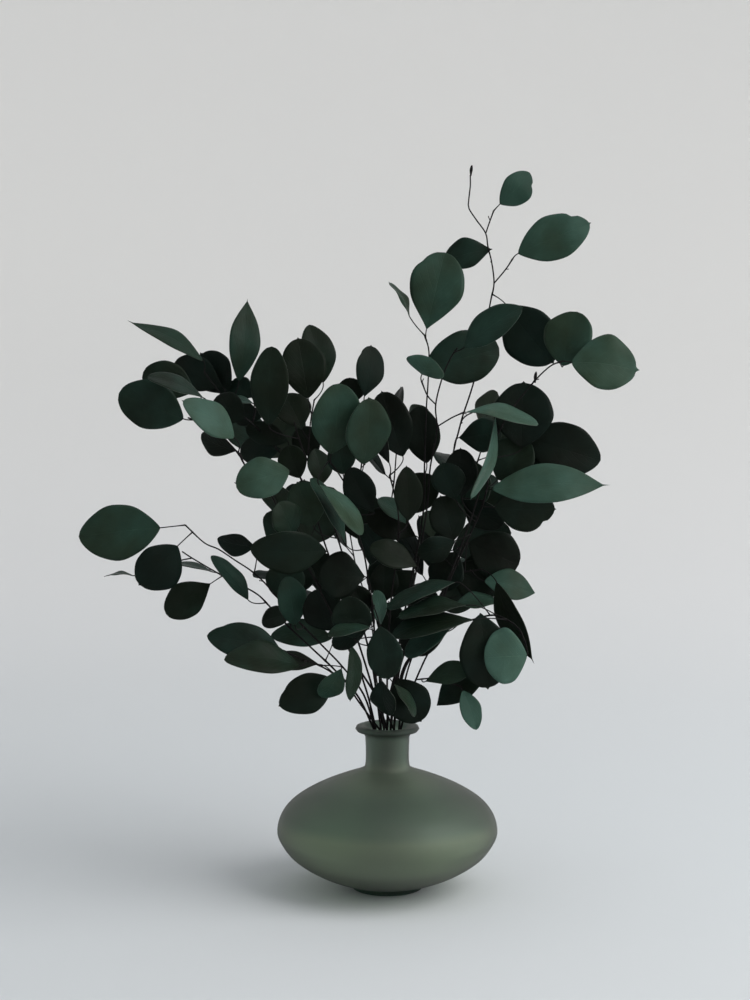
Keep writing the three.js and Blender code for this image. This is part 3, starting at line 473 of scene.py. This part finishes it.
class Paint:
    """One material and its nodes."""

    def __init__(self, name):
        self.material = bpy.data.materials.new(name)
        self.material.use_nodes = True
        self.tree = self.material.node_tree
        self.tree.nodes.clear()

    def node(self, kind, settings=None, inputs=None, output=0):
        made = self.tree.nodes.new(kind)
        for key, value in (settings or {}).items():
            if key == "stops":
                ramp = made.color_ramp.elements
                while len(ramp) < len(value):
                    ramp.new(0.5)
                for stop, (place, colour) in zip(ramp, value):
                    stop.position, stop.color = place, (*colour, 1)
            else:
                setattr(made, key, value)
        for key, value in (inputs or {}).items():
            if isinstance(value, Signal):
                self.tree.links.new(value.socket, made.inputs[key])
            else:
                made.inputs[key].default_value = value
        return Signal(self, made.outputs[output]) if made.outputs else None

    def noise(self, scale, detail=2.0, stretch=(1, 1, 1)):
        place = self.node("ShaderNodeTexCoord", output="Object")
        place = self.node("ShaderNodeMapping", inputs={"Vector": place, "Scale": stretch})
        return self.node("ShaderNodeTexNoise", inputs={"Vector": place, "Scale": scale, "Detail": detail})

    def step(self, value, low, high, bottom=0.0, top=1.0):
        settings = {"interpolation_type": "SMOOTHSTEP"}
        return self.node("ShaderNodeMapRange", settings, {0: value, 1: low, 2: high, 3: bottom, 4: top})

    def mix(self, factor, first, second):
        return self.node("ShaderNodeMix", {"data_type": "RGBA"}, {0: factor, 6: first, 7: second}, output=2)

    def ramp(self, value, stops):
        return self.node("ShaderNodeValToRGB", {"stops": stops}, {"Fac": value})

    def bump(self, height, distance, strength=1.0):
        inputs = {"Height": height, "Distance": distance, "Strength": strength}
        return self.node("ShaderNodeBump", inputs=inputs)

    def finish(self, **sockets):
        """Ends the material in a Principled shader; underscores in names stand for spaces."""
        inputs = {key.replace("_", " "): value for key, value in sockets.items()}
        shader = self.node("ShaderNodeBsdfPrincipled", inputs=inputs)
        self.node("ShaderNodeOutputMaterial", inputs={"Surface": shader})
        return self.material


# %% [markdown]
# ## Leaf finishes
# Preserved eucalyptus is a deep dyed green with a waxy satin face, a paler matt underside and a thin
# margin. Two ramps run from nearly black to grey-green, one olive and one teal, and each leaf stands
# somewhere between them. All that changes the colour is a shift along the ramps: the leaf's tone, which is
# partly its own and partly painted shade and painted light, soft clouds that are partly a painted sheen, a
# fine mottle, the midrib, the faint side veins and a pale margin that is partly a painted highlight where
# the edges catch the light.

# %% Leaf materials
OLIVE = [(0.0, (0.0021, 0.0033, 0.0016)), (0.3, (0.0076, 0.0122, 0.0062)), (0.6, (0.0245, 0.0395, 0.0225)),
         (1.0, (0.0720, 0.1100, 0.0700))]
TEAL = [(0.0, (0.0013, 0.0033, 0.0024)), (0.3, (0.0049, 0.0128, 0.0094)), (0.6, (0.0175, 0.0430, 0.0315)),
        (1.0, (0.0600, 0.1200, 0.0940))]


def leaf_paint(name, lift, roughness, relief):
    paint = Paint(name)
    across = paint.node("ShaderNodeUVMap")
    across = paint.node("ShaderNodeSeparateXYZ", inputs={0: across})
    along = across.other("Y")
    side = (across * 2 - 1).math("ABSOLUTE")
    rib = paint.step(side + along * 0.02, 0.01, 0.045, 1, 0)
    vein = (along * 8 - side * 3.4 + paint.noise(40) * 0.9).math("PINGPONG", 0.5)
    vein = paint.step(vein, 0.0, 0.09, 1, 0) * paint.step(side, 0.7, 1.0, 1, 0)
    # Painted highlight: the pale margin line is partly the leaf's own edge and partly light caught along the
    # edges.
    margin = paint.step(side, 0.965, 0.99)
    # Painted sheen: the soft clouds are partly the dye's unevenness and partly sheen painted into the
    # colour.
    cloud = paint.noise(30, 2) - 0.5
    mottle = paint.noise(95, 3) - 0.5
    # The tone attribute is partly the leaf's own lightness and partly painted shade and painted light.
    tone = paint.node("ShaderNodeAttribute", {"attribute_name": "tone"}, output="Fac")
    hue = paint.node("ShaderNodeAttribute", {"attribute_name": "hue"}, output="Fac")
    shade = tone * 0.85 + lift + rib * 0.03 + vein * 0.02 + margin * 0.08 + cloud * 0.36 + mottle * 0.12
    teal_share = paint.step(hue + cloud * 1.2, 0.0, 1.0)
    colour = paint.mix(teal_share, paint.ramp(shade, OLIVE), paint.ramp(shade, TEAL))
    height = paint.noise(900, 2) * 0.2 + paint.noise(150, 2) * 0.7 - vein * 0.25 - rib * 0.45
    satin = paint.step(paint.noise(70, 2), 0.3, 0.7, roughness - 0.06, roughness + 0.06)
    return paint.finish(Base_Color=colour, Normal=paint.bump(height, relief), Roughness=satin,
                        Specular_IOR_Level=0.075)


leaf_face = leaf_paint("waxy_leaf_face", 0.04, 0.42, 0.0003)
leaf_under = leaf_paint("matt_leaf_underside", 0.14, 0.6, 0.0004)
edge = Paint("cut_leaf_margin")
margin_colour = edge.ramp(edge.noise(60), [(0.35, (0.020, 0.027, 0.019)), (0.7, (0.052, 0.064, 0.048))])
leaf_margin = edge.finish(Base_Color=margin_colour, Roughness=0.6)
print("leaf materials made")

# %% [markdown]
# ## Bark
# The stems are almost black with a brown tint, finely streaked lengthwise, and the stalks are a little
# greener. They run mostly upward, so a noise stretched along Z draws the streaks.

# %% Bark materials
def bark_paint(name, dark, light):
    paint = Paint(name)
    streak = paint.noise(900, 3, (1, 1, 0.12))
    patch = paint.noise(55, 2)
    colour = paint.ramp(streak * 0.55 + patch * 0.45, [(0.32, dark), (0.7, light)])
    return paint.finish(Base_Color=colour, Roughness=paint.step(patch, 0.3, 0.7, 0.6, 0.8),
                        Normal=paint.bump(streak, 0.0002), Specular_IOR_Level=0.08)


stem_bark = bark_paint("dark_stem_bark", (0.0022, 0.0021, 0.0023), (0.0120, 0.0105, 0.0105))
stalk_bark = bark_paint("greenish_stalk", (0.0040, 0.0048, 0.0040), (0.0170, 0.0190, 0.0150))
print("bark materials made")

# %% [markdown]
# ## Leaves
# A flat grid is the right start for a blade, because its two directions become base-to-tip and across.
# Each grid is bent onto its formula, its first and last rows close to points, and a Solidify modifier gives
# the real thickness, with the underside and the margin in finishes of their own. Small differences keep
# the leaves from looking stamped: an uneven half, a slow ripple, and a tip that is notched, round or drawn
# out to a point.

# %% The habit of each leaf
GRID_ACROSS, GRID_ALONG = 14, 24
LEAF_SHEET = 0.4
NICK_LEFT, NICK_RIGHT, DRIP_TIP, NOTCH = 1, 2, 3, 4
draw = seeded_draws(2024)
for found in leaves.values():
    for leaf in found:
        leaf["habit"] = [next(draw) for _ in range(6)]
        # The hue rises with the tone, so the leaves painted pale as lit also lean teal.
        leaf["hue"] = 0.15 + next(draw) * 0.5 + leaf["tone"] * 0.45


def shaped_blade(leaf, s, u):
    """The CAD blade's formula with the finer forms of a real leaf added."""
    uneven, phase, swell, ripple, place, tip = leaf["habit"]
    length, half, ending = leaf["length"], leaf["width"] * half_width(s, leaf["form"]), leaf["ending"]
    side = np.sign(u)
    margin = 1 + (uneven - 0.5) * 0.09 * side + 0.013 * np.sin(2 * np.pi * (2.7 * s + phase + 0.3 * side))
    if ending in (NICK_LEFT, NICK_RIGHT) or place > 0.88:
        bitten = -1 if ending == NICK_LEFT or phase > 0.5 and not ending else 1
        margin = margin - (0.2 if ending else 0.06) * np.exp(-(((s - 0.82) / 0.045) ** 2)) * (side == bitten)
    points = on_blade(leaf, s, u * margin)
    crease = BLADE_FOLD * half * (np.sqrt(u * u + 0.06) - np.abs(u))
    wave = np.sin(2 * np.pi * (1.5 * s + phase)) * u * np.abs(u) * (0.3 + 0.7 * ripple)
    slow = np.sin(2 * np.pi * (0.8 * s + swell)) * np.sin(np.pi * s) * (0.6 + 0.4 * u)
    lift = crease + 0.07 * half * wave - 0.07 * half * u**4 + 0.026 * length * slow
    near_tip = np.clip((s - 0.86) / 0.14, 0, 1) ** 2
    centre = np.exp(-((u / 0.35) ** 2))
    reach = 0.03 if tip > 0.5 else -0.015 if tip > 0.25 else 0.0
    reach = {DRIP_TIP: 0.06, NOTCH: -0.12}.get(ending, reach)
    points += leaf["along"] * (length * reach * near_tip * centre)[..., None]
    return points + leaf["face"] * lift[..., None]


# %% [markdown]
# All leaves of a branch share one mesh. Tone, with the painted shade and light it carries, and hue are
# written on the points, where the finish reads them, and the grid's own UV map tells the finish where the
# midrib, the veins and the margin are.

# %% Bend grids into leaves
def leaf_mesh(name, found):
    bm = bmesh.new()
    bm.loops.layers.uv.new("blade")
    tone, hue = (bm.verts.layers.float.new(layer) for layer in ("tone", "hue"))
    for leaf in found:
        grid = bmesh.ops.create_grid(bm, x_segments=GRID_ACROSS, y_segments=GRID_ALONG, size=1.0,
                                     calc_uvs=True)
        flat = np.array([v.co for v in grid["verts"]])
        t = (flat[:, 1] + 1) / 2
        s = 0.45 * t + 0.275 * (1 - np.cos(np.pi * t))
        for vert, point in zip(grid["verts"], shaped_blade(leaf, s, flat[:, 0])):
            vert.co = point * MM
            vert[tone], vert[hue] = leaf["tone"], leaf["hue"]
    bmesh.ops.remove_doubles(bm, verts=bm.verts, dist=1e-6)
    for face in bm.faces:
        face.smooth = True
    mesh = bpy.data.meshes.new(name)
    bm.to_mesh(mesh)
    bm.free()
    return mesh


def add_object(name, mesh, materials):
    made = bpy.data.objects.new(name, mesh)
    bpy.context.scene.collection.objects.link(made)
    for material in materials:
        mesh.materials.append(material)
    return made


for name, found in leaves.items():
    blade = add_object("leaves_" + name, leaf_mesh(name, found), [leaf_face, leaf_under, leaf_margin])
    sheet = blade.modifiers.new("thickness", "SOLIDIFY")
    sheet.thickness, sheet.offset = LEAF_SHEET * MM, 0
    sheet.material_offset, sheet.material_offset_rim = 1, 2
    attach(blade, "root")
    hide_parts("branch_" + name)
print("leaf grids:", sum(len(found) for found in leaves.values()))

# %% [markdown]
# ## Stems, twigs and stalks
# A curve with a round section is the natural tool for wood: it follows the route, and a radius at each
# point makes it taper and swell where a leaf joins. A stalk runs on under its blade as the raised midrib,
# a short bare spur shows where an old leaf fell, and a bud is a few stations with a swelling radius. The
# curves become one mesh per branch.

# %% Wood from curves
STEM_RADIUS, STEM_TIP_RADIUS, TWIG_RADIUS, STALK_RADIUS = 1.5, 0.65, 0.65, 0.5
PETIOLE_BACK, KNOB_REACH, KNOB_SWELL, KNOB_LIMIT = 9.0, 3.0, 0.3, 1.45
LEAFY_ABOVE, RIB_SINK = 165, 0.28
SPUR_RADII = [0.6, 0.42, 0.4, 0.55]
BUD_HALF = 5
BUD_HEIGHTS = np.array([-BUD_HALF, -3.6, -1.8, 0, 1.8, 3.4, 4.6, BUD_HALF])
BUD_RADII = np.array([0.7, 0.9, 1.2, 1.5, 1.4, 1.1, 0.6, 0.2])


def add_route(curve, points, radii, slot):
    route = curve.splines.new("POLY")
    route.points.add(len(points) - 1)
    for spot, point, radius in zip(route.points, points, radii):
        spot.co = (*(point * MM), 1)
        spot.radius = radius
    route.material_index = slot
    route.use_smooth = True


def stalk_of(leaf, wood):
    """Points from the nearest wood to the blade's base, and the place on the wood that they start from."""
    aim = leaf["base"] - leaf["along"] * PETIOLE_BACK
    away = leaf["base"] - wood
    against = np.linalg.norm(away, axis=1) - away @ leaf["along"]
    start = wood[np.argmin(np.linalg.norm(wood - aim, axis=1) + 0.5 * against)]
    reach = np.linalg.norm(start - leaf["base"])
    level = max(0.0, (leaf["base"] - start) @ leaf["along"] / max(reach, 1.0))
    bend = leaf["base"] - leaf["along"] * min(0.45 * reach, 14.0) * (0.25 + 0.75 * level)
    t = np.linspace(0, 1, max(4, int(reach / 3)) + 1)[:, None]
    return (1 - t) ** 2 * start + 2 * t * (1 - t) * bend + t * t * leaf["base"], start


def bare_spur(points):
    """A short crooked twig from a drawn place on the upper part of a route."""
    i = int(len(points) * (0.35 + 0.6 * next(draw)))
    along = unit(points[i] - points[i - 1])
    out = unit(np.cross(along, [next(draw) - 0.5, next(draw) - 0.5, next(draw) - 0.5]))
    reach = np.array([0, 0.35, 0.75, 1.0])[:, None] * (1.5 + 3 * next(draw))
    return points[i] + reach * unit(out + along * 0.8) + along * reach**2 * 0.05


def wood_object(branch):
    name = branch["name"]
    curve = bpy.data.curves.new("wood_" + name, "CURVE")
    curve.dimensions = "3D"
    curve.bevel_depth, curve.bevel_resolution, curve.use_fill_caps = MM, 2, True
    every = np.array([p for path in woods[name] for p in path])
    starts = []
    for leaf in leaves[name]:
        points, start = stalk_of(leaf, every[every[:, 2] > LEAFY_ABOVE])
        starts.append(start)
        s = np.linspace(0.03, 0.86, 9)
        rib = shaped_blade(leaf, s, 0 * s) - leaf["face"] * RIB_SINK
        flare = 1 + 0.6 * np.exp(-np.arange(len(points)) / 0.8)
        radii = [*(STALK_RADIUS * flare), *(STALK_RADIUS * (0.85 - s * 0.8))]
        add_route(curve, [*points, *rib], radii, 1)
    for index, path in enumerate(woods[name]):
        points = np.array(path)
        run = np.r_[0, np.cumsum(np.linalg.norm(np.diff(points, axis=0), axis=1))]
        slimming = (STEM_TIP_RADIUS - STEM_RADIUS) * np.sqrt(run / run[-1])
        radii = STEM_RADIUS + slimming if index == 0 else run * 0 + TWIG_RADIUS
        for start in starts:
            near = np.linalg.norm(points - start, axis=1) / KNOB_REACH
            radii = radii * (1 + KNOB_SWELL * np.exp(-near**2))
        add_route(curve, points, np.minimum(radii, KNOB_LIMIT * STEM_RADIUS), 0)
        add_route(curve, bare_spur(points), SPUR_RADII, 1)
    if "bud" in branch:
        centre = placed(*branch["bud"], branch["tilt"])
        for lean, size in ((0.35, 1.0), (-0.3, 0.6)):
            heights = BUD_HEIGHTS * size - BUD_HALF * (1 - size)
            nod = (heights + BUD_HALF) ** 2 * 0.03
            points = centre + np.outer(heights, [0, 0, 1]) + np.outer(nod, [lean, 0, 0])
            add_route(curve, points, BUD_RADII * size, 1)
    holder = bpy.data.objects.new("curves_" + name, curve)
    bpy.context.scene.collection.objects.link(holder)
    made = bpy.data.meshes.new_from_object(holder.evaluated_get(bpy.context.evaluated_depsgraph_get()))
    bpy.data.objects.remove(holder)
    made.materials.clear()
    return add_object("wood_" + name, made, [stem_bark, stalk_bark])


for branch in ALL_BRANCHES:
    wood = wood_object(branch)
    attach(wood, "root")
    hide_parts("branch_" + branch["name"])
print("wood meshes:", len(ALL_BRANCHES))

# %% [markdown]
# ## The bottle
# Blown glass is round about its axis, so its section is drawn once, from the middle of the foot up the
# outside, over the lip and down the inside, and spun a full turn. The outside of the body has the same
# corners as the CAD solid, the foot, neck, lip and inside follow it with finer ones, and smooth curves
# between them take the facets away.

# %% Spin the bottle
FOOT_EDGE = [[0, 0], [30.5, 0], [32.1, 0.5], [32.5, 1.6], [32.3, 4.2], [32.9, 5.2]]
OUTSIDE = [[32.9, 5.2], [50, 10], [70, 19], [88, 31.5], [98, 45], [100.5, 54], [97.5, 66], [90, 76.5],
           [78, 85.5], [62, 94], [44, 101.5], [30, 106.5], [22.4, 109.8]]
NECK = [[22.4, 109.8], [20.6, 111.6], [19.7, 118], [19.7, 128], [20.2, 139]]
LIP = [[20.2, 139], [21.4, 142], [24, 143.4], [27.6, 144.2], [29.1, 146.4], [28.2, 148.6], [25.5, 149.5],
       [22.6, 148.9], [19.4, 146.4], [17, 142], [15.9, 134]]
INSIDE = [[15.9, 134], [15.8, 122], [16.2, 112], [20, 107.6], [43, 97.8], [61, 90.2], [76, 82], [86.8, 73.6],
          [93.8, 64.6], [96.5, 54], [94.3, 46.6], [85.6, 34.9], [68.6, 22.8], [49.5, 14], [33, 9.5], [0, 9]]
ROUND_STEPS, SECTION_STEP = 128, 2.2


def section_points():
    out = []
    for part in (FOOT_EDGE, OUTSIDE, NECK, LIP, INSIDE):
        corners = [np.array([r, 0.0, z]) for r, z in part]
        out += smooth(corners, SECTION_STEP)[:-1] if part is not FOOT_EDGE else corners[:-1]
    return out + [corners[-1]]


def spun(name, points, steps):
    """A closed body of revolution about Z from points whose first and last lie on the axis."""
    bm = bmesh.new()
    verts = [bm.verts.new(Vector(p * MM)) for p in points]
    edges = [bm.edges.new(pair) for pair in zip(verts, verts[1:])]
    bmesh.ops.spin(bm, geom=verts + edges, axis=(0, 0, 1), cent=(0, 0, 0), angle=2 * math.pi, steps=steps,
                   use_merge=True)
    bmesh.ops.remove_doubles(bm, verts=bm.verts, dist=1e-6)
    bmesh.ops.recalc_face_normals(bm, faces=bm.faces)
    for face in bm.faces:
        face.smooth = True
    mesh = bpy.data.meshes.new(name)
    bm.to_mesh(mesh)
    bm.free()
    return mesh


# %% [markdown]
# ## The frosted glass
# Etched glass lets light through but scatters it, so the shader is a rough transmission with a weak gloss.
# The colour follows the height: a dark foot, a body that is pale up to its widest part, which is a painted
# band of light reflected up from the table, a deeper shoulder, a paler stretch below the neck and a darker
# lip. Where the wall is seen edge-on, light crosses more of the grey frosted skin, which is what the facing
# weight of the glass stands for.

# %% The finish of the bottle
glass = Paint("frosted_green_glass")
height = glass.node("ShaderNodeTexCoord", output="Object")
height = glass.node("ShaderNodeSeparateXYZ", inputs={0: height}).other("Z")
cloud = glass.noise(22, 2)
frost = glass.noise(1600, 2)
# Painted light: the pale lower body is a band of light reflected up from the table, painted into the colour.
painted_light_band = glass.step(height, 0.058, 0.072, 0.42, 0) * glass.step(height, 0.006, 0.020)
collar = glass.step(height, 0.090, 0.104, 0, 0.3) - glass.step(height, 0.110, 0.122, 0, 0.24)
collar = collar - glass.step(height, 0.138, 0.146, 0, 0.4)
edge_on = glass.node("ShaderNodeLayerWeight", inputs={"Blend": 0.5}, output="Facing")
tint = glass.step(height, 0.005, 0.010) * 0.52 + painted_light_band + collar - edge_on * 0.36 + cloud * 0.18
glass_colour = glass.ramp(tint, [(0.08, (0.020, 0.050, 0.034)), (0.3, (0.170, 0.230, 0.180)),
                                 (0.55, (0.280, 0.378, 0.302)), (0.88, (0.470, 0.555, 0.420))])
rim = glass.step(edge_on, 0.25, 0.85, 0, 0.85) * glass.step(height, 0.005, 0.010)
glass_colour = glass.mix(rim, glass_colour, (0.135, 0.130, 0.120, 1))
frosted = glass.finish(Base_Color=glass_colour, Roughness=glass.step(cloud, 0.3, 0.7, 0.52, 0.6),
                       Normal=glass.bump(frost, 0.00005), Specular_IOR_Level=0.36,
                       Transmission_Weight=0.92, IOR=1.42)
bottle = add_object("frosted_bottle", spun("frosted_bottle", section_points(), ROUND_STEPS), [frosted])
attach(bottle, "root")
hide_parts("bottle")
print("bottle faces:", len(bottle.data.polygons))

# %% [markdown]
# ## Floor, backdrop and light
# A plain pale floor runs up into a round wall far behind, so that no straight horizon crosses the view.
# Light comes from a large soft source on the right and above, as from a window, with a weak one overhead
# and the room's light all round. The sources themselves are hidden from the camera.

# %% Stage and lights
COVE = [[0, 0], [900, 0], [1500, 55], [2200, 250], [2900, 640], [3350, 1150], [3600, 1800], [3650, 2600]]
plaster = Paint("pale_plaster")
away = plaster.node("ShaderNodeTexCoord", output="Object")
away = plaster.node("ShaderNodeVectorMath", {"operation": "LENGTH"}, {0: away}, output="Value")
pale = plaster.step(away, 0.3, 3.4, 0, 0.9) + plaster.noise(0.8, 1) * 0.1
pale = plaster.ramp(pale, [(0.0, (0.60, 0.63, 0.65)), (0.45, (0.73, 0.735, 0.74)),
                           (1.0, (0.81, 0.805, 0.79))])
cove_material = plaster.finish(Base_Color=pale, Roughness=0.9)
cove_points = smooth([np.array([r, 0.0, z]) for r, z in COVE], 120)
backdrop = add_object("backdrop", spun("backdrop", cove_points, 96), [cove_material])
backdrop.data.flip_normals()


def soft_light(name, place, target, size, power, colour):
    lamp = bpy.data.lights.new(name, "AREA")
    lamp.shape, lamp.size, lamp.energy, lamp.color = "SQUARE", size, power, colour
    made = bpy.data.objects.new(name, lamp)
    bpy.context.scene.collection.objects.link(made)
    made.visible_camera = False
    made.location = place
    made.rotation_euler = (Vector(target) - Vector(place)).to_track_quat("-Z", "Y").to_euler()


soft_light("window", (2.4, -1.0, 2.0), (0, 0.4, 0.4), 3.0, 98, (1.0, 0.99, 0.97))
soft_light("ceiling", (0.3, 0.2, 2.7), (0, 0, 0.3), 2.4, 12, (0.97, 0.99, 1.0))
world = bpy.data.worlds.new("room")
bpy.context.scene.world = world
world.use_nodes = True
world.node_tree.nodes["Background"].inputs["Color"].default_value = (0.93, 0.96, 1.0, 1)
world.node_tree.nodes["Background"].inputs["Strength"].default_value = 0.44
bpy.context.scene.view_settings.view_transform = "Standard"
print("stage and lights set")
